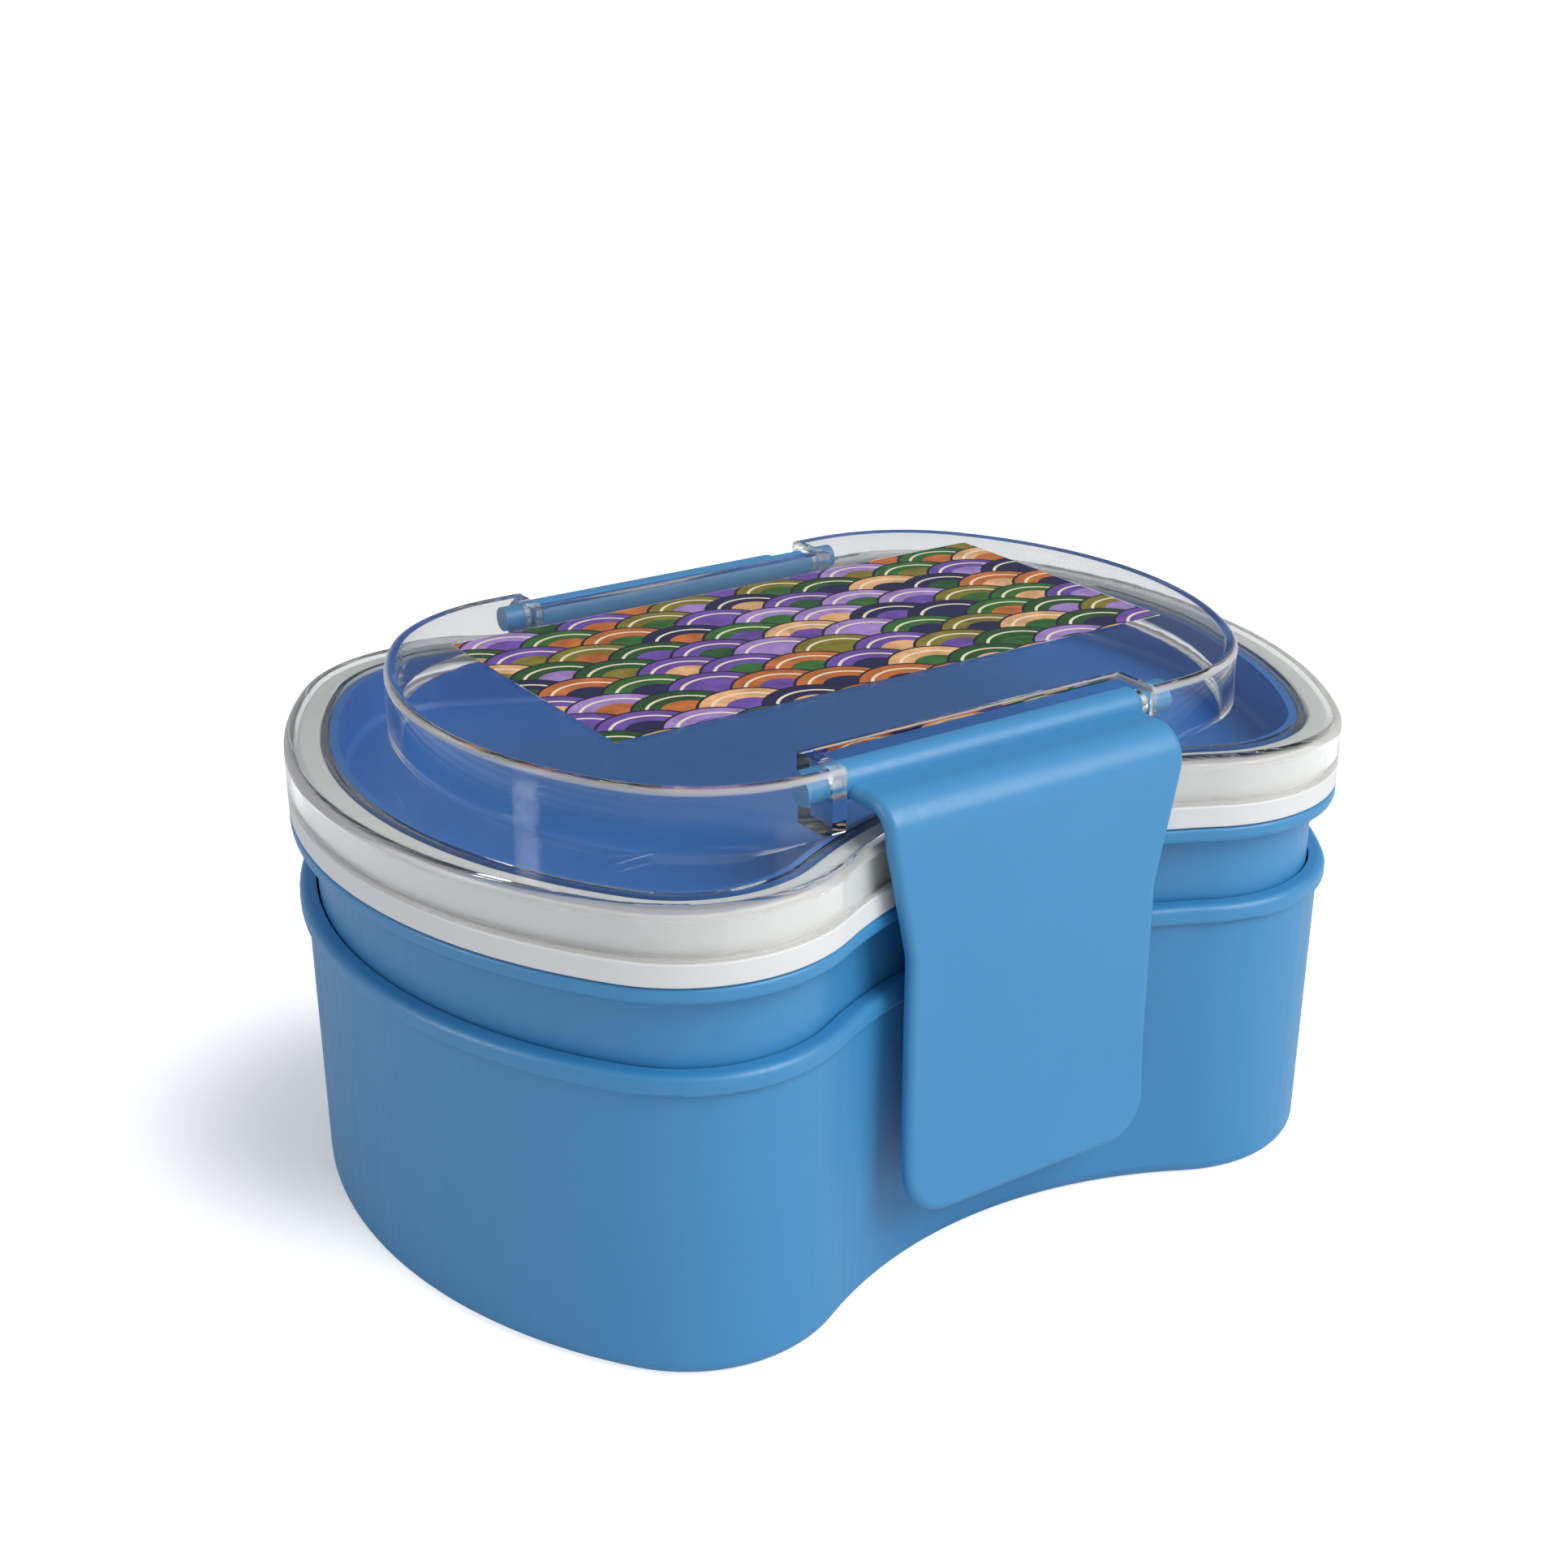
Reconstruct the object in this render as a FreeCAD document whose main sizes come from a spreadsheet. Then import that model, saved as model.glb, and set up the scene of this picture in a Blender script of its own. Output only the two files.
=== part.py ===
import FreeCAD, Part
import math
import os
import Sketcher

os.makedirs("parts", exist_ok=True)
doc = FreeCAD.newDocument("BentoLunchBox")
sheet = doc.addObject("Spreadsheet::Sheet", "Sizes")
origin = FreeCAD.Vector(0, 0, 0)


class Size:
    """A length known both as a number and as an expression on the sheet."""

    def __init__(self, value, text):
        self.value = value
        self.text = text

    def __add__(self, other):
        other = as_size(other)
        return Size(self.value + other.value, f"({self.text} + {other.text})")

    def __sub__(self, other):
        other = as_size(other)
        return Size(self.value - other.value, f"({self.text} - {other.text})")

    def __mul__(self, other):
        other = as_size(other)
        return Size(self.value * other.value, f"({self.text} * {other.text})")

    def __truediv__(self, other):
        other = as_size(other)
        return Size(self.value / other.value, f"({self.text} / {other.text})")

    def root(self):
        return Size(math.sqrt(self.value), f"sqrt({self.text})")


def as_size(value):
    return value if isinstance(value, Size) else Size(value, repr(value))


row = 0


def size(name, value, note):
    """A line of the sheet: a driving size in millimetres or degrees, or one that follows from others."""
    global row
    row += 1
    follows = isinstance(value, Size)
    sheet.set(f"A{row}", name)
    sheet.set(f"B{row}", "=" + value.text.replace("Sizes.", "") if follows else str(value))
    sheet.set(f"C{row}", note)
    sheet.setAlias(f"B{row}", name)
    return Size(value.value if follows else float(value), f"Sizes.{name}")


# The outline that the skirt, the frame and both boxes share: two lobes and a drawn-in waist
length = size("overall_length", 190.0, "over the two ends of the cover")
width = size("overall_width", 136.6, "over the two lobes of the cover")
waist = size("waist_width", 109.4, "between the drawn-in long sides of the cover")
end_radius = size("end_radius", 92.7, "curve of the short ends")
lobe_radius = size("lobe_radius", 28.7, "curve of the four lobes")

# Heights, from the table upwards
lower_rim = size("lower_rim", 55.4, "lower box, table to rim")
upper_rise = size("upper_rise", 15.0, "upper rim above the lower rim")
frame_gap = size("frame_gap", 0.2, "line between upper rim and white frame")
strip_height = size("strip_height", 4.0, "white strip that shows under the skirt")
skirt_gap = size("skirt_gap", 0.2, "line between white strip and clear skirt")
skirt_height = size("skirt_height", 8.6, "clear skirt up to the shelf")
plateau_height = size("plateau_height", 10.8, "plateau above the shelf")

# Lower box
draft = size("wall_draft", 0.4, "draft of the box walls, degrees")
lower_inset = size("lower_inset", 1.7, "lower wall inside the skirt line, at the rim")
lower_wall = size("lower_wall", 1.8, "lower wall thickness")
lower_floor = size("lower_floor", 2.0, "lower floor thickness")
bead_inset = size("lower_bead_inset", 0.5, "lower bead inside the skirt line")
bead_height = size("lower_bead_height", 3.6, "lower bead height")
bead_round = size("bead_round", 1.5, "rounding over the lower bead")
bead_under_round = size("bead_under_round", 0.9, "rounding under the lower bead")
foot_round = size("foot_round", 2.6, "rounding round the base")
foot_width = size("foot_width", 7.0, "width of the standing ring")
foot_depth = size("foot_depth", 0.8, "recess inside the standing ring")
hollow_round = size("hollow_round", 4.0, "rounding inside the box floors")
ledge_drop = size("ledge_drop", 5.4, "ledge below the lower rim")
ledge_reach = size("ledge_reach", 2.3, "ledge width inside the wall")
ledge_depth = size("ledge_depth", 3.2, "ledge height with its sloped underside")

# Upper box
nest_gap = size("nest_gap", 0.4, "upper box inside the lower rim")
upper_wall = size("upper_wall", 1.6, "upper wall and floor thickness")
upper_bead_height = size("upper_bead_height", 3.0, "upper bead height")
upper_bead_round = size("upper_bead_round", 1.4, "rounding under the upper bead")
shoulder_reach = size("shoulder_reach", 2.5, "shoulder that stands on the ledge")
plug_depth = size("plug_depth", 9.0, "upper box below its shoulder")
plug_round = size("plug_round", 3.0, "rounding under the upper box")

# White frame, tray and gasket of the inner lid
skirt_wall = size("skirt_wall", 2.0, "clear skirt thickness")
skirt_fit = size("skirt_fit", 0.3, "frame inside the clear skirt")
frame_width = size("frame_width", 6.3, "frame from the skirt line to its inner edge, at the top")
frame_seat = size("frame_seat", 7.8, "frame from the skirt line to the tray's seat")
groove_depth = size("groove_depth", 3.6, "groove for the cover's rib, between frame and tray")
frame_drop = size("frame_drop", 0.4, "frame top below the shelf's underside")
mouth_gap = size("mouth_gap", 0.3, "frame lip inside the upper box")
lip_depth = size("lip_depth", 1.4, "frame lip below the upper rim")
lip_thick = size("lip_thick", 1.2, "frame lip under the tray")
lip_reach = size("lip_reach", 2.8, "frame lip reaching under the tray")
gasket_inset = size("gasket_inset", 2.3, "gasket inside the skirt line")
gasket_width = size("gasket_width", 2.4, "gasket width")
gasket_height = size("gasket_height", 1.9, "gasket height")
tray_fit = size("tray_fit", 0.1, "tray inside the frame")
tray_wall = size("tray_wall", 1.5, "tray wall and floor thickness")
tray_drop = size("tray_drop", 0.2, "tray edge below the frame top")

# Clear cover
shelf_thick = size("shelf_thick", 1.8, "shelf thickness")
skirt_round = size("skirt_round", 2.2, "rounding of the skirt's top edge")
plateau_length = size("plateau_length", 155.0, "plateau length")
plateau_margin = size("plateau_margin", 0.4, "plateau side inside the waist of the skirt line")
plateau_end = size("plateau_end_radius", 70.0, "curve of the plateau ends")
plateau_corner = size("plateau_corner_radius", 33.0, "curve of the plateau corners")
plateau_wall = size("plateau_wall", 2.0, "plateau wall thickness")
roof_thick = size("roof_thick", 1.6, "plateau roof thickness")
plateau_round = size("plateau_round", 1.4, "rounding of the plateau's top edge")
rib_gap = size("rib_gap", 0.3, "locating rib inside the frame")
rib_thick = size("rib_thick", 1.0, "locating rib thickness")
rib_depth = size("rib_depth", 3.0, "locating rib below the shelf")
notch_width = size("notch_width", 63.4, "hinge notch width")
notch_depth = size("notch_depth", 9.1, "hinge notch depth from the plateau side")
print_length = size("print_length", 116.2, "printed panel length")
print_width = size("print_width", 58.0, "printed panel width")
print_shift_x = size("print_shift_x", 2.0, "printed panel off the middle, along the box")
print_shift_y = size("print_shift_y", 3.8, "printed panel off the middle, towards the rear")
print_thick = size("print_thick", 0.3, "printed panel thickness, let in flush")
print_fit = size("print_fit", 0.1, "room round the printed panel")

# Clips
hinge_inset = size("hinge_inset", 4.8, "hinge line inside the plateau side")
hinge_drop = size("hinge_drop", 4.3, "hinge line below the plateau top")
barrel_diameter = size("barrel_diameter", 6.4, "clip barrel")
pin_diameter = size("pin_diameter", 4.6, "clip pins")
pin_play = size("pin_play", 0.05, "pin play in its bore, on the radius")
pin_reach = size("pin_reach", 4.0, "pin past the notch wall")
clip_play = size("clip_play", 0.5, "barrel end to notch wall")
clip_thick = size("clip_thick", 2.5, "clip plate thickness")
clip_gap = size("clip_gap", 1.0, "clip's inner face outside the skirt line, at its shoulders")
clip_bend = size("clip_bend", 4.8, "clip bend, on the middle of the plate")
clip_drop = size("clip_drop", 0.8, "plate middle below the hinge line")
clip_lift = size("clip_lift", 15.3, "clip tip above the table")
flare_height = size("flare_height", 20.0, "height of the flared tip")
flare_radius = size("flare_radius", 150.0, "curve of the flared tip")
shoulder_width = size("shoulder_width", 60.8, "clip across its shoulders")
tongue_width = size("tongue_width", 52.0, "clip across its tongue")
taper_top = size("taper_top", 10.5, "shoulders' lower end below the plateau top")
taper_end = size("taper_end", 31.0, "start of the tongue below the plateau top")
tip_round = size("tip_round", 8.0, "tongue corner rounding")
tip_overrun = size("tip_overrun", 3.0, "plate past the tongue's outline before it is trimmed")
taper_round = size("taper_round", 12.0, "rounding where the shoulders taper")
hook_width = size("hook_width", 34.0, "catch ridge width")
hook_height = size("hook_height", 2.4, "catch ridge height")
hook_gap = size("hook_gap", 0.5, "catch ridge below the lower bead")
hook_clear = size("hook_clear", 0.3, "catch ridge outside the skirt line, clip unlatched")
edge_round = size("edge_round", 0.8, "rounding of the clip's inner edges and of the frame's crown")
clip_round = size("clip_round", 1.5, "rounding of the clip's outer edges")
barrel_round = size("barrel_round", 0.7, "rounding of the barrel's ends")
notch_round = size("notch_round", 0.4, "rounding of the notch edges")
doc.recompute()

# Levels and lines that follow from them
upper_rim = lower_rim + upper_rise
frame_bottom = upper_rim + frame_gap
strip_top = frame_bottom + strip_height
skirt_bottom = strip_top + skirt_gap
shelf_top = skirt_bottom + skirt_height
plateau_top = shelf_top + plateau_height
shelf_under = shelf_top - shelf_thick
frame_top = shelf_under - frame_drop
lower_bead_under = lower_rim - bead_height
ledge_top = lower_rim - ledge_drop
upper_under = ledge_top - plug_depth
upper_inset = lower_inset + lower_wall + nest_gap
plug_inset = upper_inset + shoulder_reach
lip_bottom = upper_rim - lip_depth
tray_bottom = lip_bottom + lip_thick
lobe_y = width / 2 - lobe_radius
lobe_x = length / 2 - end_radius + ((end_radius - lobe_radius) * (end_radius - lobe_radius)
                                    - lobe_y * lobe_y).root()
waist_step = waist / 2 - lobe_y
waist_radius = (lobe_x * lobe_x + waist_step * waist_step - lobe_radius * lobe_radius) / (width - waist)
waist_centre = waist / 2 + waist_radius


def skirt_reach(x):
    """How far the skirt line lies from the middle of the box, at a distance x along it."""
    meeting = lobe_x * waist_radius / (waist_radius + lobe_radius)
    if x.value < meeting.value:
        return waist_centre - (waist_radius * waist_radius - x * x).root()
    return lobe_y + (lobe_radius * lobe_radius - (x - lobe_x) * (x - lobe_x)).root()


plateau_width = size("plateau_width", waist - plateau_margin * 2, "plateau width")
hinge_reach = size("hinge_reach", plateau_width / 2 - hinge_inset, "hinge line from the middle of the box")
clip_reach = size("clip_reach", skirt_reach(shoulder_width / 2) + clip_gap + clip_thick,
                  "outer face of the clip from the middle of the box")
doc.recompute()
corner_y = plateau_width / 2 - plateau_corner
corner_x = plateau_length / 2 - plateau_end + (
    (plateau_end - plateau_corner) * (plateau_end - plateau_corner) - corner_y * corner_y).root()
hinge_level = plateau_top - hinge_drop
notch_back = plateau_width / 2 - notch_depth
none = Size(0.0, "0")


def point(x, y):
    return FreeCAD.Vector(as_size(x).value, as_size(y).value, 0)


def new_body(name):
    body = doc.addObject("PartDesign::Body", name)
    body.Label = name
    return body


def new_sketch(body, name, plane, level):
    """A sketch parallel to one of the body's own planes, at a level along that plane's normal."""
    sketch = body.newObject("Sketcher::SketchObject", name)
    support = next(f for f in body.Origin.OriginFeatures if f.Role == plane)
    sketch.AttachmentSupport = [(support, "")]
    sketch.MapMode = "FlatFace"
    sketch.setExpression("AttachmentOffset.Base.z", as_size(level).text)
    return sketch


def relate(sketch, *terms):
    return sketch.addConstraint(Sketcher.Constraint(*terms))


def drive(sketch, length_value, *terms):
    """A dimension of a sketch that follows the sheet."""
    index = sketch.addConstraint(Sketcher.Constraint(*terms, length_value.value))
    sketch.setExpression(f"Constraints[{index}]", length_value.text)


def place(sketch, geometry, position, x, y):
    """Holds a point of the sketch at x, y, signed about the sketch's own axes."""
    for axis, value in (("DistanceX", as_size(x)), ("DistanceY", as_size(y))):
        if value.value == 0:
            relate(sketch, "PointOnObject", geometry, position, -2 if axis == "DistanceX" else -1)
        elif value.value > 0:
            drive(sketch, value, axis, -1, 1, geometry, position)
        else:
            drive(sketch, none - value, axis, geometry, position, -1, 1)


def arc(centre, radius, start, end):
    circle = Part.Circle(centre, FreeCAD.Vector(0, 0, 1), radius)
    return Part.ArcOfCircle(circle, start, end)


def lobed(sketch, lobe_centre, lobe, end, side):
    """Four lobes joined by end curves and by long sides, which are arcs or straight lines."""
    x, y = lobe_centre[0].value, lobe_centre[1].value
    end_x = x - math.sqrt((end.value - lobe.value) ** 2 - y ** 2)
    turn = math.atan2(y, x - end_x)
    top = math.pi / 2 if side is None else math.atan2(side[1].value - y, -x)
    first = sketch.GeometryCount
    signs = ((1, 1), (-1, 1), (-1, -1), (1, -1))
    for sign_x, sign_y in signs:
        angles = [math.atan2(sign_y * math.sin(a), sign_x * math.cos(a)) for a in (turn, top)]
        if sign_x * sign_y < 0:
            angles.reverse()
        while angles[1] < angles[0]:
            angles[1] += 2 * math.pi
        sketch.addGeometry(arc(FreeCAD.Vector(sign_x * x, sign_y * y, 0), lobe.value, *angles))
    a, b, c, d = range(first, first + 4)
    right = sketch.addGeometry(arc(FreeCAD.Vector(end_x, 0, 0), end.value, -turn, turn))
    left = sketch.addGeometry(arc(FreeCAD.Vector(-end_x, 0, 0), end.value, math.pi - turn, math.pi + turn))
    if side is None:
        flat = y + lobe.value
        rear = sketch.addGeometry(Part.LineSegment(FreeCAD.Vector(-x, flat, 0), FreeCAD.Vector(x, flat, 0)))
        front = sketch.addGeometry(
            Part.LineSegment(FreeCAD.Vector(x, -flat, 0), FreeCAD.Vector(-x, -flat, 0)))
    else:
        radius, far = side[0].value, side[1].value
        half = math.atan2(x, far - y)
        rear = sketch.addGeometry(arc(FreeCAD.Vector(0, far, 0), radius,
                                      -math.pi / 2 - half, -math.pi / 2 + half))
        front = sketch.addGeometry(arc(FreeCAD.Vector(0, -far, 0), radius,
                                       math.pi / 2 - half, math.pi / 2 + half))
    place(sketch, a, 3, *lobe_centre)
    relate(sketch, "Symmetric", a, 3, b, 3, -2)
    relate(sketch, "Symmetric", a, 3, c, 3, -1, 1)
    relate(sketch, "Symmetric", a, 3, d, 3, -1)
    drive(sketch, lobe, "Radius", a)
    for other in (b, c, d):
        relate(sketch, "Equal", a, other)
    joints = ((right, 2, a, 1), (a, 2, rear, 2), (rear, 1, b, 1), (b, 2, left, 1),
              (left, 2, c, 1), (c, 2, front, 2), (front, 1, d, 1), (d, 2, right, 1))
    for joint in joints:
        relate(sketch, "Tangent", *joint)
    drive(sketch, end, "Radius", right)
    relate(sketch, "Equal", right, left)
    if side is not None:
        drive(sketch, side[0], "Radius", rear)
        relate(sketch, "Equal", rear, front)


def waisted(body, name, level, *insets):
    """The shared outline at a level, drawn inside the skirt line by each inset in turn."""
    sketch = new_sketch(body, name, "XY_Plane", level)
    for inset in insets:
        lobed(sketch, (lobe_x, lobe_y), lobe_radius - inset, end_radius - inset,
              (waist_radius + inset, waist_centre))
    return sketch


def plateau(body, name, level, inset):
    sketch = new_sketch(body, name, "XY_Plane", level)
    lobed(sketch, (corner_x, corner_y), plateau_corner - inset, plateau_end - inset, None)
    return sketch


def rectangle(sketch, low_x, low_y, high_x, high_y):
    corners = [point(low_x, low_y), point(high_x, low_y), point(high_x, high_y), point(low_x, high_y)]
    first = sketch.GeometryCount
    for start, end in zip(corners, corners[1:] + corners[:1]):
        sketch.addGeometry(Part.LineSegment(start, end))
    for side in range(4):
        relate(sketch, "Coincident", first + side, 2, first + (side + 1) % 4, 1)
    relate(sketch, "Horizontal", first)
    relate(sketch, "Vertical", first + 1)
    relate(sketch, "Horizontal", first + 2)
    relate(sketch, "Vertical", first + 3)
    place(sketch, first, 1, low_x, low_y)
    place(sketch, first + 1, 2, high_x, high_y)


def circle(sketch, x, y, radius):
    index = sketch.addGeometry(Part.Circle(point(x, y), FreeCAD.Vector(0, 0, 1), radius.value))
    place(sketch, index, 3, x, y)
    drive(sketch, radius, "Radius", index)


def extrude(kind, body, sketch, depth, upwards=True, taper=None, both_ways=False):
    feature = body.newObject(f"PartDesign::{kind}", f"{kind}_{sketch.Name}")
    feature.Profile = sketch
    feature.setExpression("Length", depth.text)
    feature.Reversed = (not upwards) if kind == "Pad" else upwards
    if both_ways:
        feature.SideType = "Symmetric"
    if taper is not None:
        feature.setExpression("TaperAngle", taper.text)
    doc.recompute()
    sketch.Visibility = False
    return feature


def pad(body, sketch, depth, **choices):
    return extrude("Pad", body, sketch, depth, **choices)


def pocket(body, sketch, depth, **choices):
    before = body.Shape.Volume
    feature = extrude("Pocket", body, sketch, depth, **choices)
    if feature.Shape.Volume > before - 0.01:
        raise RuntimeError(f"{feature.Name} cuts nothing")
    return feature


def soften(body, name, kind, amount, chosen):
    """Rounds or bevels the edges of the body's last feature that a test picks out."""
    base = body.Tip
    names = [f"Edge{i + 1}" for i, edge in enumerate(base.Shape.Edges) if chosen(edge)]
    if not names:
        raise RuntimeError(f"{name} finds no edge")
    feature = body.newObject(f"PartDesign::{kind}", name)
    feature.Base = (base, names)
    feature.setExpression("Radius" if kind == "Fillet" else "Size", amount.text)
    doc.recompute()
    return feature


def at_level(edge, level):
    box = edge.BoundBox
    return abs(box.ZMin - level.value) < 1e-3 and abs(box.ZMax - level.value) < 1e-3


def distance_in(edge):
    """How far inside the skirt line the middle of an edge lies, along the nearest outline curve."""
    middle = edge.valueAt((edge.FirstParameter + edge.LastParameter) / 2)
    x, y = abs(middle.x), abs(middle.y)
    to_lobe = math.hypot(x - lobe_x.value, y - lobe_y.value)
    to_waist = math.hypot(x, y - waist_centre.value)
    end_x = length.value / 2 - end_radius.value
    to_end = math.hypot(x - end_x, y)
    turn = math.atan2(lobe_y.value, lobe_x.value - end_x)
    lean = math.atan2(waist_centre.value - lobe_y.value, lobe_x.value)
    if math.atan2(y, x - end_x) <= turn:
        return end_radius.value - to_end
    if math.atan2(waist_centre.value - y, x) > lean:
        return to_waist - waist_radius.value
    return lobe_radius.value - to_lobe


def rim_edge(level, inset, slack=0.05):
    """Picks the edges that run round the box at a level and an inset."""
    return lambda edge: at_level(edge, level) and abs(distance_in(edge) - as_size(inset).value) < slack


def tapered(depth):
    """How far a drafted wall moves over a depth."""
    return Size(depth.value * math.tan(math.radians(draft.value)),
                f"({depth.text} * tan({draft.text} * 1 deg))")


# Lower box: drafted walls that widen towards the rim, a bead round it and a ledge inside for the upper tier
lower = new_body("lower_box")
foot_inset = lower_inset + tapered(lower_rim)
pad(lower, waisted(lower, "lower_outside", none, foot_inset), lower_rim, taper=draft)
soften(lower, "lower_foot", "Fillet", foot_round, lambda edge: at_level(edge, none))
pad(lower, waisted(lower, "lower_bead", lower_bead_under, bead_inset), bead_height)
floor_top = foot_depth + lower_floor
hollow_depth = lower_rim - floor_top
hollow_inset = lower_inset + lower_wall + tapered(hollow_depth)
pocket(lower, waisted(lower, "lower_hollow", floor_top, hollow_inset), hollow_depth, taper=draft)
soften(lower, "lower_floor_round", "Fillet", hollow_round,
       lambda edge: at_level(edge, floor_top))
ledge_inset = lower_inset + lower_wall + ledge_reach
pad(lower, waisted(lower, "lower_ledge", ledge_top, lower_inset + lower_wall / 2, ledge_inset),
    ledge_depth, upwards=False)
soften(lower, "lower_ledge_slope", "Chamfer", ledge_reach - 0.3,
       rim_edge(ledge_top - ledge_depth, ledge_inset))
pocket(lower, waisted(lower, "lower_base", none, foot_inset + foot_width), foot_depth)
soften(lower, "lower_bead_round", "Fillet", bead_round, rim_edge(lower_rim, bead_inset))
soften(lower, "lower_bead_under_round", "Fillet", bead_under_round, rim_edge(lower_bead_under, bead_inset))

# Upper box: a short wall that drops into the lower rim, a shoulder on the ledge and a plug below it
upper = new_body("upper_box")
pad(upper, waisted(upper, "upper_plug", upper_under, plug_inset), plug_depth)
soften(upper, "upper_plug_round", "Fillet", plug_round, lambda edge: at_level(edge, upper_under))
pad(upper, waisted(upper, "upper_outside", ledge_top, upper_inset), upper_rim - ledge_top)
pad(upper, waisted(upper, "upper_bead", upper_rim - upper_bead_height, none), upper_bead_height)
pocket(upper, waisted(upper, "upper_mouth", ledge_top + upper_wall, upper_inset + upper_wall),
       upper_rim - ledge_top - upper_wall)
pocket(upper, waisted(upper, "upper_hollow", upper_under + upper_wall, plug_inset + upper_wall), plug_depth)
soften(upper, "upper_floor_round", "Fillet", plug_round,
       lambda edge: at_level(edge, upper_under + upper_wall))
soften(upper, "upper_bead_round", "Fillet", upper_bead_round, rim_edge(upper_rim - upper_bead_height, none))
soften(upper, "upper_rim_round", "Fillet", upper_bead_round / 2, rim_edge(upper_rim, none))

# White frame: a strip flush with the skirt, a stem inside it, a gasket groove and a lip that carries the tray
frame = new_body("seal_frame")
pad(frame, waisted(frame, "frame_strip", frame_bottom, none, frame_seat), strip_height)
stem_inset = skirt_wall + skirt_fit
seat_top = frame_top - groove_depth
pad(frame, waisted(frame, "frame_stem", strip_top, stem_inset, frame_seat), seat_top - strip_top)
pad(frame, waisted(frame, "frame_crown", seat_top, stem_inset, frame_width), groove_depth)
mouth_inset = upper_inset + upper_wall + mouth_gap
pad(frame, waisted(frame, "frame_lip_wall", lip_bottom, mouth_inset, frame_seat), frame_bottom - lip_bottom)
pad(frame, waisted(frame, "frame_lip", lip_bottom, mouth_inset, frame_seat + lip_reach), lip_thick)
pocket(frame, waisted(frame, "frame_groove", frame_bottom, gasket_inset, gasket_inset + gasket_width),
       gasket_height - frame_gap)
soften(frame, "frame_top_round", "Fillet", edge_round,
       lambda edge: rim_edge(frame_top, stem_inset)(edge) or rim_edge(frame_top, frame_width)(edge))
soften(frame, "frame_strip_round", "Fillet", edge_round / 2,
       lambda edge: rim_edge(frame_bottom, none)(edge) or rim_edge(strip_top, none)(edge))

# Gasket: a square ring that fills the groove and stands on the upper rim
gasket = new_body("lid_gasket")
pad(gasket, waisted(gasket, "gasket_ring", upper_rim, gasket_inset, gasket_inset + gasket_width),
    gasket_height)

# Tray: a shallow blue pan held in the frame
tray = new_body("inner_tray")
tray_top = frame_top - tray_drop
tray_inset = frame_seat + tray_fit
pad(tray, waisted(tray, "tray_outside", tray_bottom, tray_inset), tray_top - tray_bottom)
pocket(tray, waisted(tray, "tray_hollow", tray_bottom + tray_wall, tray_inset + tray_wall),
       tray_top - tray_bottom - tray_wall)
soften(tray, "tray_round", "Fillet", tray_wall, lambda edge: at_level(edge, tray_bottom + tray_wall))

# Clear cover: a skirt, a shelf and a hollow plateau with a hinge notch in each long side
cover = new_body("clear_cover")
pad(cover, waisted(cover, "cover_skirt", skirt_bottom, none), skirt_height)
pad(cover, plateau(cover, "cover_plateau", shelf_top, none), plateau_height)
pocket(cover, waisted(cover, "cover_hollow", skirt_bottom, skirt_wall), shelf_under - skirt_bottom)
roof_under = plateau_top - roof_thick
pocket(cover, plateau(cover, "cover_room", shelf_under, plateau_wall), roof_under - shelf_under)
block = new_sketch(cover, "cover_notch_walls", "XY_Plane", shelf_under)
block_x = notch_width / 2 + plateau_wall
block_low = notch_back - plateau_wall
block_high = plateau_width / 2 - plateau_wall / 2
rectangle(block, none - block_x, block_low, block_x, block_high)
rectangle(block, none - block_x, none - block_high, block_x, none - block_low)
pad(cover, block, plateau_top - shelf_under - roof_thick / 2)
cut = new_sketch(cover, "cover_notches", "XY_Plane", shelf_top)
cut_x = notch_width / 2
cut_high = plateau_width / 2 + plateau_wall
rectangle(cut, none - cut_x, notch_back, cut_x, cut_high)
rectangle(cut, none - cut_x, none - cut_high, cut_x, none - notch_back)
pocket(cover, cut, plateau_height)
bores = new_sketch(cover, "cover_bores", "YZ_Plane", none)
for side in (hinge_reach, none - hinge_reach):
    circle(bores, side, hinge_level, pin_diameter / 2 + pin_play)
pocket(cover, bores, notch_width + (plateau_wall + pin_reach + clip_play) * 2, both_ways=True)
rib_inset = frame_width + rib_gap
pad(cover, waisted(cover, "cover_rib", shelf_under, rib_inset, rib_inset + rib_thick), rib_depth,
    upwards=False)
panel_recess = new_sketch(cover, "cover_recess", "XY_Plane", plateau_top - print_thick)
room_x = print_length / 2 + print_fit
room_y = print_width / 2 + print_fit
rectangle(panel_recess, print_shift_x - room_x, print_shift_y - room_y,
          print_shift_x + room_x, print_shift_y + room_y)
pocket(cover, panel_recess, print_thick)
soften(cover, "cover_skirt_round", "Fillet", skirt_round, rim_edge(shelf_top, none))


def plateau_rim(edge):
    """The top edge of the plateau between its two notches, without the notches themselves."""
    middle = edge.valueAt((edge.FirstParameter + edge.LastParameter) / 2)
    outside = abs(middle.y) > notch_back.value + 1 or abs(middle.x) > cut_x.value + 1
    recess = abs(middle.x - print_shift_x.value) < room_x.value + 0.01 and \
        abs(middle.y - print_shift_y.value) < room_y.value + 0.01
    in_notch = abs(abs(middle.x) - cut_x.value) < 0.01 and abs(middle.y) > notch_back.value
    return at_level(edge, plateau_top) and outside and not recess and not in_notch


def notch_edge(edge):
    """The edges round the top of a notch."""
    middle = edge.valueAt((edge.FirstParameter + edge.LastParameter) / 2)
    side = abs(abs(middle.x) - cut_x.value) < 0.01 and abs(middle.y) > notch_back.value + 0.01
    back = abs(abs(middle.y) - notch_back.value) < 0.01 and abs(middle.x) < cut_x.value
    return at_level(edge, plateau_top) and (side or back)


soften(cover, "cover_plateau_round", "Fillet", plateau_round, plateau_rim)
soften(cover, "cover_notch_round", "Fillet", notch_round, notch_edge)

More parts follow.
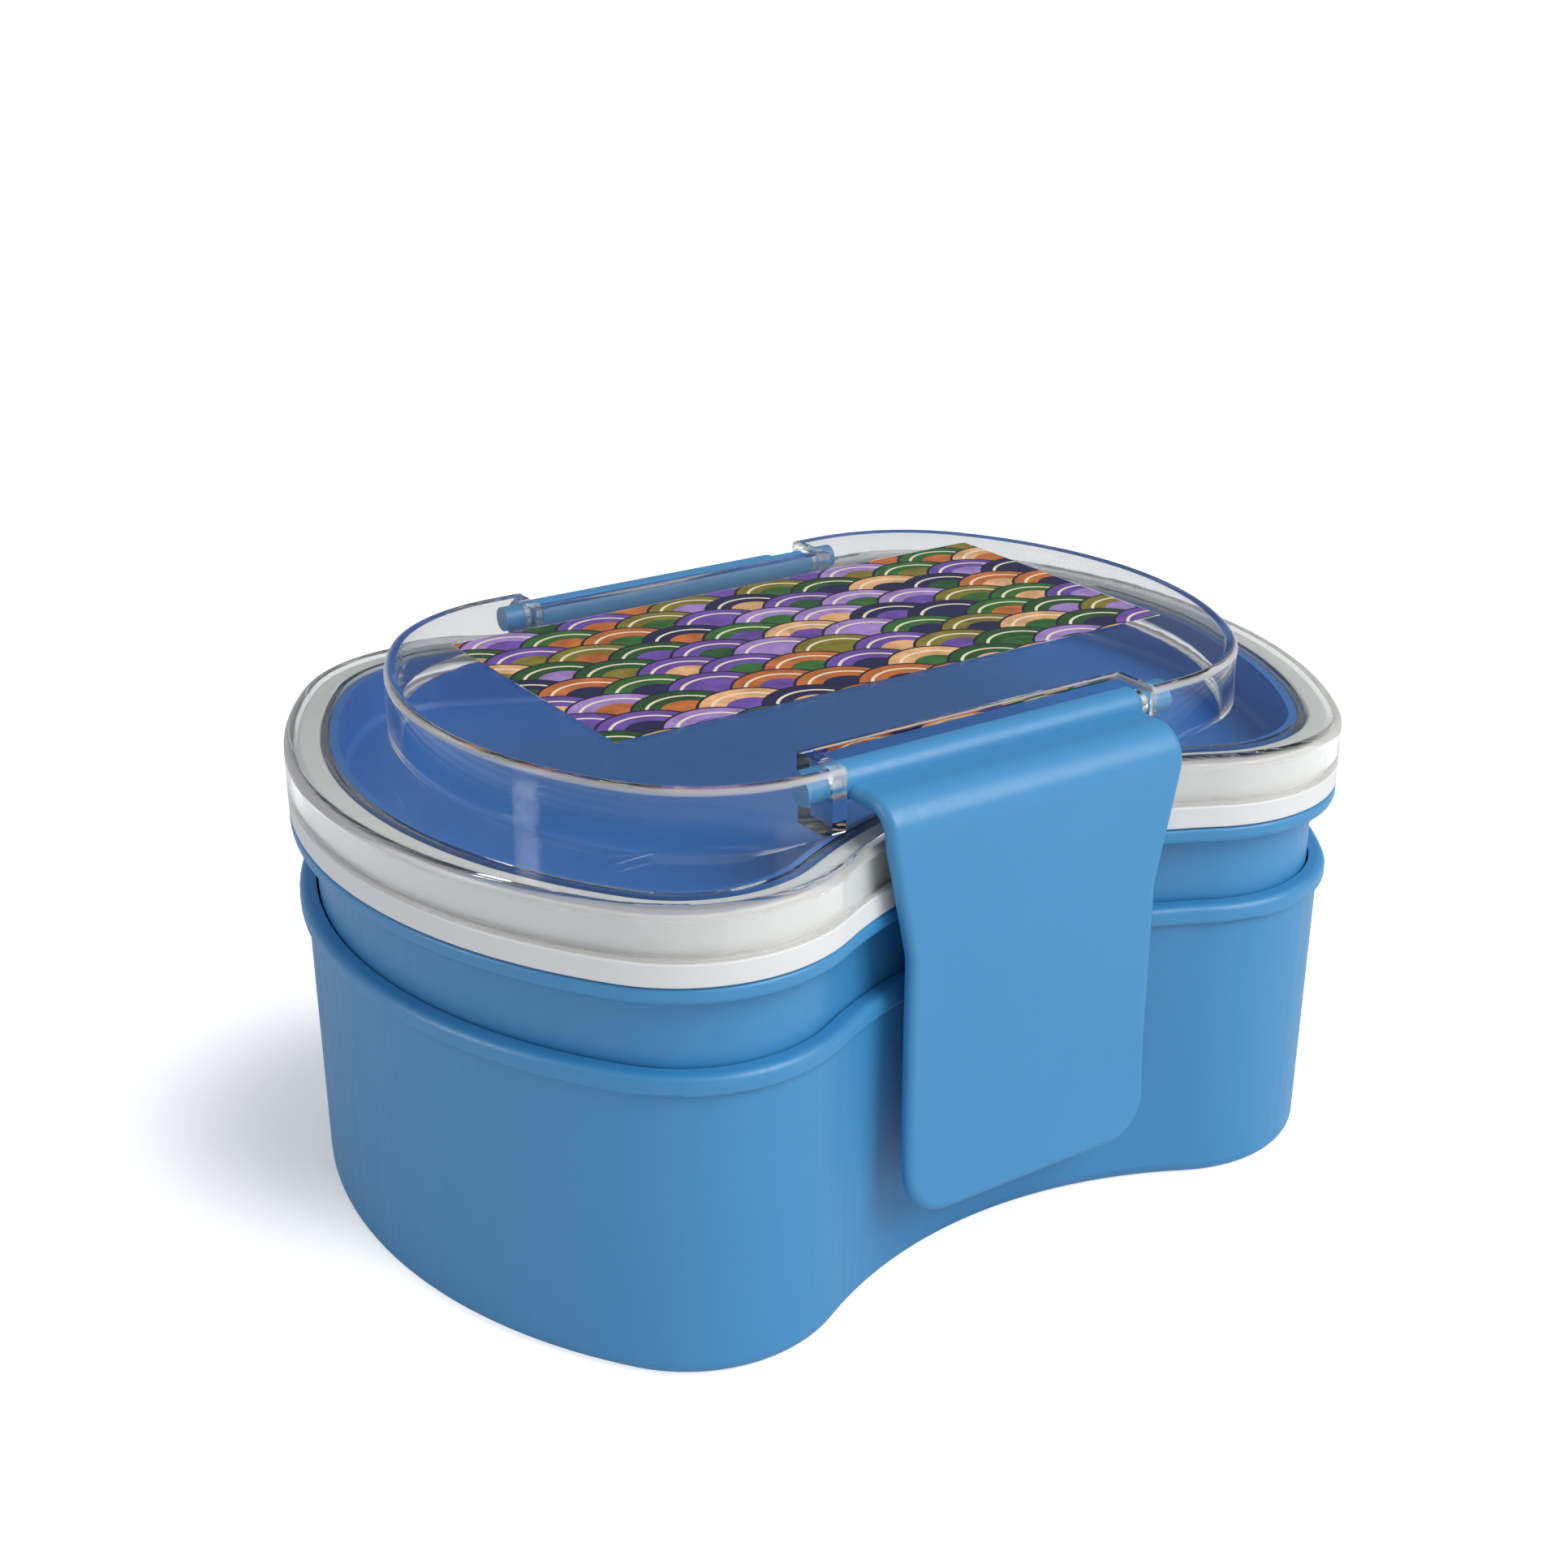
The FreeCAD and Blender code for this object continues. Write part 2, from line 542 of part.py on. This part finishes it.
# Printed panel, let in flush with the plateau
panel = new_body("print_panel")
panel_sketch = new_sketch(panel, "panel_outline", "XY_Plane", plateau_top - print_thick)
rectangle(panel_sketch, print_shift_x - print_length / 2, print_shift_y - print_width / 2,
          print_shift_x + print_length / 2, print_shift_y + print_width / 2)
pad(panel, panel_sketch, print_thick)


def clip(name, turn):
    """A bent plate with a barrel and two pins at its hinge and a catch ridge behind it."""
    body = new_body(name)
    plate_level = hinge_level - clip_drop
    plate_line = clip_reach - clip_thick / 2
    flare_start = clip_lift + flare_height
    path = new_sketch(body, f"{name}_path", "YZ_Plane", none)
    bend_y = plate_line - clip_bend
    bend_z = plate_level - clip_bend
    top = path.addGeometry(Part.LineSegment(point(none - hinge_reach, plate_level),
                                            point(none - bend_y, plate_level)))
    bend = path.addGeometry(arc(point(none - bend_y, bend_z), clip_bend.value, math.pi / 2, math.pi))
    drop = path.addGeometry(Part.LineSegment(point(none - plate_line, bend_z),
                                             point(none - plate_line, flare_start)))
    sweep = math.asin((flare_height + tip_overrun).value / flare_radius.value)
    flare = path.addGeometry(arc(point(none - plate_line - flare_radius, flare_start), flare_radius.value,
                                 -sweep, 0.0))
    relate(path, "Tangent", top, 2, bend, 1)
    relate(path, "Tangent", bend, 2, drop, 1)
    relate(path, "Tangent", drop, 2, flare, 2)
    relate(path, "Horizontal", top)
    relate(path, "Vertical", drop)
    place(path, top, 1, none - hinge_reach, plate_level)
    drive(path, clip_bend, "Radius", bend)
    place(path, drop, 2, none - plate_line, flare_start)
    drive(path, flare_radius, "Radius", flare)
    drive(path, clip_lift - tip_overrun, "DistanceY", -1, 1, flare, 1)
    section = new_sketch(body, f"{name}_section", "XZ_Plane", hinge_reach)
    rectangle(section, none - shoulder_width / 2, plate_level - clip_thick / 2,
              shoulder_width / 2, plate_level + clip_thick / 2)
    doc.recompute()
    plate = body.newObject("PartDesign::AdditivePipe", f"{name}_plate")
    plate.Profile = section
    plate.Spine = path
    doc.recompute()
    wide = shoulder_width / 2
    slim = tongue_width / 2
    high = plateau_top - taper_top
    low = plateau_top - taper_end
    outer = wide + tip_overrun
    under = clip_lift - tip_overrun * 2
    trim = new_sketch(body, f"{name}_trim", "XZ_Plane", hinge_reach)
    turn_z = clip_lift + tip_round
    inner = slim - tip_round
    corners = [(wide, high), (slim, low), (slim, turn_z), (inner, clip_lift), (none - inner, clip_lift),
               (none - slim, turn_z), (none - slim, low), (none - wide, high), (none - outer, high),
               (none - outer, under), (outer, under), (outer, high)]
    tips = {2: (inner, -math.pi / 2, 0.0), 4: (none - inner, math.pi, 1.5 * math.pi)}
    for number, (start, end) in enumerate(zip(corners, corners[1:] + corners[:1])):
        if number in tips:
            x, first, last = tips[number]
            trim.addGeometry(arc(point(x, turn_z), tip_round.value, first, last))
        else:
            trim.addGeometry(Part.LineSegment(point(*start), point(*end)))
    for number in range(len(corners)):
        following = (number + 1) % len(corners)
        own_end = 1 if number == 2 else 2 if number != 4 else 1
        next_start = 2 if following in tips else 1
        kind = "Tangent" if number in tips or following in tips else "Coincident"
        relate(trim, kind, number, own_end, following, next_start)
    for number in (0, 1, 7, 8, 9, 10, 11):
        place(trim, number, 1, *corners[number])
    place(trim, 6, 1, *corners[6])
    place(trim, 2, 3, inner, turn_z)
    place(trim, 4, 3, none - inner, turn_z)
    drive(trim, tip_round, "Radius", 2)
    drive(trim, tip_round, "Radius", 4)
    pocket(body, trim, clip_reach - hinge_reach + tip_overrun * 3)
    soften(body, f"{name}_taper_round", "Fillet", taper_round,
           lambda edge: abs(edge.BoundBox.XLength) + abs(edge.BoundBox.ZLength) < 0.5
           and (abs(edge.CenterOfMass.z - low.value) < 0.3 or abs(edge.CenterOfMass.z - high.value) < 0.3))
    faces = (("outer", clip_reach, clip_round), ("inner", clip_reach - clip_thick, edge_round))
    for face, face_y, radius in faces:
        soften(body, f"{name}_{face}_edges", "Fillet", radius,
               lambda edge: abs(edge.CenterOfMass.x - slim.value) < 0.01 and edge.BoundBox.XLength < 1e-3
               and edge.BoundBox.YLength < 1e-3 and edge.Length > tip_round.value
               and abs(edge.CenterOfMass.y + face_y.value) < 0.01)
    barrel = new_sketch(body, f"{name}_barrel", "YZ_Plane", none)
    circle(barrel, none - hinge_reach, hinge_level, barrel_diameter / 2)
    pad(body, barrel, notch_width - clip_play * 2, both_ways=True)
    soften(body, f"{name}_barrel_round", "Fillet", barrel_round,
           lambda edge: abs(abs(edge.CenterOfMass.x) - (notch_width / 2 - clip_play).value) < 0.01)
    pins = new_sketch(body, f"{name}_pins", "YZ_Plane", none)
    circle(pins, none - hinge_reach, hinge_level, pin_diameter / 2)
    pad(body, pins, notch_width + (plateau_wall + pin_reach) * 2, both_ways=True)
    hook_top = lower_bead_under - hook_gap
    hook = new_sketch(body, f"{name}_hook", "XY_Plane", hook_top)
    reach = hook_width / 2
    rectangle(hook, none - reach, none - plate_line, reach, none - waist / 2)
    pad(body, hook, hook_height, upwards=False)
    relief = waisted(body, f"{name}_hook_relief", hook_top, none - hook_clear)
    pocket(body, relief, hook_height, upwards=False)
    body.Placement = FreeCAD.Placement(origin, FreeCAD.Rotation(FreeCAD.Vector(0, 0, 1), turn))
    return body


front_clip = clip("front_clip", 0)
rear_clip = clip("rear_clip", 180)

doc.recompute()
bodies = [lower, upper, frame, gasket, tray, cover, panel, front_clip, rear_clip]
for item in doc.Objects:
    if "Invalid" in item.State or "Error" in item.State:
        raise RuntimeError(f"{item.Label} failed: {item.State}")
for body in bodies:
    if body.Shape.isNull() or not body.Shape.isValid() or len(body.Shape.Solids) != 1:
        raise RuntimeError(f"{body.Label} is not one sound solid")
for body in bodies:
    body.Shape.exportStep(f"parts/{body.Label}.step")
    box = body.Shape.BoundBox
    print(f"{body.Label}: {body.Shape.Volume / 1000:.1f} cm3, x {box.XMin:.2f} {box.XMax:.2f}, "
          f"y {box.YMin:.2f} {box.YMax:.2f}, z {box.ZMin:.2f} {box.ZMax:.2f}")
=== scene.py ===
import math

import bpy
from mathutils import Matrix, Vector

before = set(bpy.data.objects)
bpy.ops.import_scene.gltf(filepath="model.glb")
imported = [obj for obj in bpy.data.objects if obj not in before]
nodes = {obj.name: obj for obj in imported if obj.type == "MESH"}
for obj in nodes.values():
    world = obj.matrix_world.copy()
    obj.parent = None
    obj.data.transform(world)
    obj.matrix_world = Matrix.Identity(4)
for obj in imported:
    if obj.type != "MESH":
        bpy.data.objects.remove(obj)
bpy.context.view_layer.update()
scene = bpy.context.scene
scene.view_settings.view_transform = "Standard"
# a Mix node's two inputs and its output, for each kind of data
mixSockets = {"FLOAT": (2, 3, 0), "VECTOR": (4, 5, 1), "RGBA": (6, 7, 2)}
# the middle part of a noise texture's values, where nearly all of them lie
noiseRange = (0.3, 0.7)


def linear(hexColour):
    channels = [int(hexColour[i:i + 2], 16) / 255 for i in (1, 3, 5)]
    return tuple(c / 12.92 if c <= 0.04045 else ((c + 0.055) / 1.055) ** 2.4 for c in channels) + (1.0,)


def perMetre(millimetres):
    return 1000 / millimetres


# one node with its settings, then its sockets: a value, or another node's output to link
def addNode(tree, kind, settings=None, sockets=None):
    node = tree.nodes.new(kind)
    for name, value in (settings or {}).items():
        setattr(node, name, value)
    for name, value in (sockets or {}).items():
        if isinstance(value, bpy.types.NodeSocket):
            tree.links.new(value, node.inputs[name])
        else:
            node.inputs[name].default_value = value
    return node


def maths(tree, operation, *values):
    return addNode(tree, "ShaderNodeMath", {"operation": operation}, dict(enumerate(values))).outputs[0]


def mix(tree, kind, share, first, second):
    firstInput, secondInput, output = mixSockets[kind]
    sockets = {0: share, firstInput: first, secondInput: second}
    return addNode(tree, "ShaderNodeMix", {"data_type": kind}, sockets).outputs[output]


def noise(tree, place, millimetres, detail=2.0, **sockets):
    sockets.update({"Vector": place, "Scale": perMetre(millimetres), "Detail": detail})
    return addNode(tree, "ShaderNodeTexNoise", None, sockets).outputs["Fac"]


def remap(tree, value, source, target, curve="LINEAR"):
    sockets = {"Value": value, "From Min": source[0], "From Max": source[1], "To Min": target[0],
               "To Max": target[1]}
    return addNode(tree, "ShaderNodeMapRange", {"interpolation_type": curve}, sockets).outputs["Result"]


def emboss(tree, height, relief):
    strength, distance = relief
    sockets = {"Height": height, "Strength": strength, "Distance": distance}
    return addNode(tree, "ShaderNodeBump", None, sockets).outputs["Normal"]


def axesOf(tree, vector):
    return addNode(tree, "ShaderNodeSeparateXYZ", None, {"Vector": vector}).outputs


# a new material, its node tree and the piece's own coordinates
def newMaterial(name):
    material = bpy.data.materials.new(name)
    material.use_nodes = True
    tree = material.node_tree
    tree.nodes.clear()
    return material, tree, addNode(tree, "ShaderNodeTexCoord").outputs["Object"]


# the shader that ends a material; with a share of lamp light, lamps shine on what lies behind the piece
def finishMaterial(tree, sockets, lampShare=None):
    shader = addNode(tree, "ShaderNodeBsdfPrincipled", None, sockets).outputs["BSDF"]
    if lampShare is not None:
        path = addNode(tree, "ShaderNodeLightPath")
        passed = addNode(tree, "ShaderNodeBsdfTransparent", None, {
            "Color": (lampShare, lampShare, lampShare, 1)})
        shader = addNode(tree, "ShaderNodeMixShader", None, {
            0: path.outputs["Is Shadow Ray"], 1: shader, 2: passed.outputs["BSDF"]}).outputs["Shader"]
    addNode(tree, "ShaderNodeOutputMaterial", None, {"Surface": shader})


def dress(names, material):
    for name in names:
        slots = nodes[name].data.materials
        slots.clear()
        slots.append(material)


# Camera: 50 mm lens on a 36 mm sensor, at the photograph's height and turn
camera = {"place": (-0.2135, -0.3053, 0.2191), "pitch": 67.591, "turn": -34.089, "lens": 50, "sensor": 36}
cameraData = bpy.data.cameras.new("camera")
cameraData.lens = camera["lens"]
cameraData.sensor_width = camera["sensor"]
cameraObject = bpy.data.objects.new("camera", cameraData)
cameraObject.location = camera["place"]
cameraObject.rotation_euler = (math.radians(camera["pitch"]), 0, math.radians(camera["turn"]))
scene.collection.objects.link(cameraObject)
scene.camera = cameraObject
print("camera set")

# Polypropylene, injection moulded with a fine spark-eroded grain and faint upright draw marks: an even sheen
blues = {
    "polypropylene_moulded_blue": {"colour": "#3a8ec5", "deep": "#3589c0", "roughness": (0.36, 0.46),
                                   "pieces": ["lower_box", "upper_box", "front_clip", "rear_clip"]},
    "polypropylene_moulded_blue_tray": {"colour": "#3d7dcd", "deep": "#3878c7", "roughness": (0.4, 0.5),
                                        "pieces": ["inner_tray"]},
}
marks = {"cloud": 24, "grain": 0.45, "draw": 1.6, "drawStretch": (1, 1, 0.02), "drawShare": 0.6,
         "relief": (0.25, 0.00004), "ior": 1.49, "specular": 0.75}
for name, blue in blues.items():
    bluePlastic, tree, place = newMaterial(name)
    cloud = noise(tree, place, marks["cloud"], 3.0)
    grain = noise(tree, place, marks["grain"])
    upright = addNode(tree, "ShaderNodeMapping", None, {"Vector": place, "Scale": marks["drawStretch"]})
    draw = noise(tree, upright.outputs["Vector"], marks["draw"])
    height = maths(tree, "MULTIPLY_ADD", draw, marks["drawShare"], grain)
    finishMaterial(tree, {
        "Base Color": mix(tree, "RGBA", cloud, linear(blue["deep"]), linear(blue["colour"])),
        "Roughness": remap(tree, draw, noiseRange, blue["roughness"]),
        "Normal": emboss(tree, height, marks["relief"]), "IOR": marks["ior"],
        "Specular IOR Level": marks["specular"]})
    dress(blue["pieces"], bluePlastic)

# The same polymer in white, a little smoother, with faint flow marks
white = {"colour": "#e6e7e8", "flow": "#dfe1e2", "roughness": (0.34, 0.44), "mark": 9, "swirl": 0.6,
         "grain": 0.5, "relief": (0.2, 0.00004), "ior": 1.49}
whitePlastic, tree, place = newMaterial("polypropylene_moulded_white")
mark = noise(tree, place, white["mark"], 3.0, Distortion=white["swirl"])
grain = noise(tree, place, white["grain"])
finishMaterial(tree, {
    "Base Color": mix(tree, "RGBA", mark, linear(white["flow"]), linear(white["colour"])),
    "Roughness": remap(tree, mark, noiseRange, white["roughness"]),
    "Normal": emboss(tree, grain, white["relief"]), "IOR": white["ior"]})
dress(["seal_frame"], whitePlastic)

# Silicone, pressed: milky, soft to the eye, with the talc bloom that such rings carry
gasket = {"colour": "#dfe4e6", "bloom": "#f2f3f2", "roughness": (0.45, 0.65), "speck": 0.8,
          "relief": (0.2, 0.00005), "through": 0.35, "ior": 1.41}
silicone, tree, place = newMaterial("silicone_pressed_clear")
speck = noise(tree, place, gasket["speck"], 4.0)
finishMaterial(tree, {
    "Base Color": mix(tree, "RGBA", speck, linear(gasket["colour"]), linear(gasket["bloom"])),
    "Roughness": remap(tree, speck, (0.0, 1.0), gasket["roughness"]),
    "Normal": emboss(tree, speck, gasket["relief"]),
    "Transmission Weight": gasket["through"], "IOR": gasket["ior"]})
dress(["lid_gasket"], silicone)

# Styrene acrylonitrile, moulded clear in a polished tool: water-clear faces. Every rounded edge, where the
# face leans between upright and level, and a thin band at the skirt's lower edge are hazier and less
# polished, and carry a painted grey shade for the dark lines that refraction draws there
clear = {"colour": "#eeefef", "edge": "#d2d1d0", "roughness": (0.025, 0.26), "haze": 0.55, "wave": 14,
         "relief": (0.15, 0.0002), "lean": (0.05, 0.35), "skirtFoot": (0.0748, 0.0758), "lampShare": 0.91,
         "ior": 1.33}
clearPlastic, tree, place = newMaterial("styrene_acrylonitrile_clear")
wave = noise(tree, place, clear["wave"])
facing = axesOf(tree, addNode(tree, "ShaderNodeNewGeometry").outputs["Normal"])
lean = maths(tree, "PINGPONG", maths(tree, "ABSOLUTE", facing["Z"]), 0.5)
rounded = remap(tree, lean, clear["lean"], (0.0, 1.0), "SMOOTHSTEP")
skirtFoot = remap(tree, axesOf(tree, place)["Z"], clear["skirtFoot"], (1.0, 0.0), "SMOOTHSTEP")
# painted shade: over this mask the grey colour stands in for the refraction lines on these edges; the same
# mask also raises roughness and haze
edge = maths(tree, "MAXIMUM", rounded, skirtFoot)
finishMaterial(tree, {
    "Base Color": mix(tree, "RGBA", edge, linear(clear["colour"]), linear(clear["edge"])),
    "Roughness": remap(tree, edge, (0.0, 1.0), clear["roughness"]),
    "Normal": emboss(tree, wave, clear["relief"]),
    "Transmission Weight": remap(tree, edge, (0.0, 1.0), (1.0, 1 - clear["haze"])),
    "IOR": clear["ior"]}, clear["lampShare"])
dress(["clear_cover"], clearPlastic)

# Polyester film, screen printed with overlapping fans in mottled inks: each fan has a pale ring, a core in a
# second ink and a dark outline. Rows rise by a quarter of a fan's width, every other one half a width aside
film = {"fan": 19.4, "line": "#efe3c6", "outline": "#15172f", "mottle": 5.0, "depth": (0.55, 1.3),
        "inks": ["#83781f", "#2f6b2a", "#1d5420", "#6b4aa6", "#a483c8", "#c66c2a", "#e6b07a", "#1a1b4e"],
        "core": 0.48, "ring": (0.72, 0.03), "rim": 0.945, "roughness": 0.42, "lampShare": 0.95, "ior": 1.5}
printedFilm, tree, place = newMaterial("polyester_film_printed")
grid = addNode(tree, "ShaderNodeMapping", None, {
    "Vector": place, "Scale": (perMetre(film["fan"]), perMetre(film["fan"] / 4), 0)})
axes = axesOf(tree, grid.outputs["Vector"])
firstRow = maths(tree, "FLOOR", maths(tree, "SUBTRACT", axes["Y"], 1.0))
fanReach = fanCell = None
for step in (2.0, 1.0, 0.0):  # three rows can cover a point, and the lowest one lies on top
    row = maths(tree, "ADD", firstRow, step)
    rise = maths(tree, "SUBTRACT", axes["Y"], row)
    odd = maths(tree, "FLOORED_MODULO", row, 2.0)
    along = maths(tree, "MULTIPLY_ADD", odd, 0.5, axes["X"])
    column = maths(tree, "ROUND", along)
    aside = maths(tree, "SUBTRACT", along, column)
    arm = addNode(tree, "ShaderNodeCombineXYZ", None, {"X": aside, "Y": rise})
    # in fan radii: half a width along, two rows up
    arm = addNode(tree, "ShaderNodeVectorMath", {"operation": "MULTIPLY"}, {
        0: arm.outputs[0], 1: (2.0, 0.5, 0.0)})
    reach = addNode(tree, "ShaderNodeVectorMath", {"operation": "LENGTH"}, {0: arm.outputs[0]})
    reach = reach.outputs["Value"]
    cell = addNode(tree, "ShaderNodeCombineXYZ", None, {"X": column, "Y": row}).outputs[0]
    if fanReach is None:
        fanReach, fanCell = reach, cell
        continue
    inside = maths(tree, "LESS_THAN", reach, 1.0)
    fanReach = mix(tree, "FLOAT", inside, fanReach, reach)
    fanCell = mix(tree, "VECTOR", inside, fanCell, cell)
pick = addNode(tree, "ShaderNodeTexWhiteNoise", {"noise_dimensions": "2D"}, {"Vector": fanCell})
pick = pick.outputs["Value"]
secondPick = maths(tree, "FRACT", maths(tree, "MULTIPLY_ADD", pick, 7.0, 0.4))
inks = []
for chosen in (pick, secondPick):
    ramp = addNode(tree, "ShaderNodeValToRGB", None, {"Fac": chosen})
    stops = ramp.color_ramp.elements
    ramp.color_ramp.interpolation = "CONSTANT"
    for number, ink in enumerate(film["inks"]):
        stop = stops[0] if number == 0 else stops.new(number / len(film["inks"]))
        stop.color = linear(ink)
    stops.remove(stops[-1])
    inks.append(ramp.outputs["Color"])
core = maths(tree, "LESS_THAN", fanReach, film["core"])
ground = mix(tree, "RGBA", core, *inks)
mottle = noise(tree, place, film["mottle"], 7.0, Roughness=0.7)
ground = addNode(tree, "ShaderNodeHueSaturation", None, {
    "Value": remap(tree, mottle, noiseRange, film["depth"]), "Color": ground}).outputs["Color"]
ring = maths(tree, "COMPARE", fanReach, *film["ring"])
ground = mix(tree, "RGBA", ring, ground, linear(film["line"]))
rim = maths(tree, "GREATER_THAN", fanReach, film["rim"])
ground = mix(tree, "RGBA", rim, ground, linear(film["outline"]))
finishMaterial(tree, {
    "Base Color": ground, "Roughness": film["roughness"], "IOR": film["ior"]}, film["lampShare"])
dress(["print_panel"], printedFilm)
print("materials set")

# Floor: white board. Its glow is for the eye only: weak around a point by the box's rear-left foot and full
# further out, so the lamp's shadow stays there and the glow's falloff paints how far that shadow reaches
floor = {"half": 8.0, "colour": "#e4e4e4", "roughness": 0.9, "glow": (0.25, 0.68), "fade": (0.018, 0.064),
         "paintedShadowCentre": (-0.072, 0.043, 0)}
half = floor["half"]
corners = [(-half, -half, 0), (half, -half, 0), (half, half, 0), (-half, half, 0)]
floorMesh = bpy.data.meshes.new("floor")
floorMesh.from_pydata(corners, [], [(0, 1, 2, 3)])
floorObject = bpy.data.objects.new("floor", floorMesh)
scene.collection.objects.link(floorObject)
board, tree, place = newMaterial("board_painted_white")
path = addNode(tree, "ShaderNodeLightPath").outputs
seen = maths(tree, "MAXIMUM", path["Is Camera Ray"], path["Is Transmission Ray"])
# painted shadow: the glow is weakest around this point, so the floor reads darkest there
away = addNode(tree, "ShaderNodeVectorMath", {"operation": "DISTANCE"}, {0: place, 1: floor["paintedShadowCentre"]})
glow = remap(tree, away.outputs["Value"], floor["fade"], floor["glow"], "SMOOTHSTEP")
finishMaterial(tree, {
    "Base Color": linear(floor["colour"]), "Roughness": floor["roughness"], "Specular IOR Level": 0.0,
    "Emission Color": (1, 1, 1, 1), "Emission Strength": maths(tree, "MULTIPLY", seen, glow)})
floorMesh.materials.append(board)

# Lamps: a large soft box on the right, and on the left a tall narrow one that shows in reflections only
lamps = {
    "key": {"place": (0.50, -0.95, 1.0), "size": (0.9, 0.9), "watts": 13.3, "colour": (1, 0.98, 0.92),
            "diffuse": True},
    "card": {"place": (-0.904, 0.294, 0.45), "size": (0.125, 0.5), "watts": 2.2, "colour": (1, 1, 1),
             "diffuse": False},
}
target = Vector((0, 0, 0.05))
for name, lamp in lamps.items():
    data = bpy.data.lights.new(name, "AREA")
    data.shape = "RECTANGLE"
    data.size, data.size_y = lamp["size"]
    data.energy = lamp["watts"]
    data.color = lamp["colour"]
    lampObject = bpy.data.objects.new(name, data)
    lampObject.location = lamp["place"]
    lampObject.rotation_euler = (lampObject.location - target).to_track_quat("Z", "Y").to_euler()
    lampObject.visible_diffuse = lamp["diffuse"]
    scene.collection.objects.link(lampObject)

# Room: even light. In reflections its level changes with height, as the pairs of height and level say, and to
# the eye it is a plain white wall beyond the floor
room = {"even": 0.60, "wall": 1.03, "colour": (0.975, 0.99, 1.05, 1), "bounces": 24,
        "mirrored": [(0.0, 0.42), (0.22, 0.36), (0.32, 0.11), (0.48, 0.11), (0.9, 0.5)]}
world = bpy.data.worlds.new("room")
scene.world = world
world.use_nodes = True
tree = world.node_tree
tree.nodes.clear()
path = addNode(tree, "ShaderNodeLightPath").outputs
upward = axesOf(tree, addNode(tree, "ShaderNodeTexCoord").outputs["Generated"])["Z"]
mirrored = addNode(tree, "ShaderNodeValToRGB", None, {"Fac": upward})
stops = mirrored.color_ramp.elements
last = len(room["mirrored"]) - 1
for number, (height, level) in enumerate(room["mirrored"]):
    stop = stops[0] if number == 0 else stops[-1] if number == last else stops.new(height)
    stop.position = height
    stop.color = (level, level, level, 1)
strength = mix(tree, "FLOAT", path["Is Glossy Ray"], room["even"], mirrored.outputs["Color"])
strength = mix(tree, "FLOAT", path["Is Camera Ray"], strength, room["wall"])
background = addNode(tree, "ShaderNodeBackground", None, {"Color": room["colour"], "Strength": strength})
addNode(tree, "ShaderNodeOutputWorld", None, {"Surface": background.outputs["Background"]})
# light runs a long way inside the clear walls
scene.cycles.max_bounces = room["bounces"]
scene.cycles.glossy_bounces = room["bounces"]
scene.cycles.transmission_bounces = room["bounces"]
print("stage and lamps set")
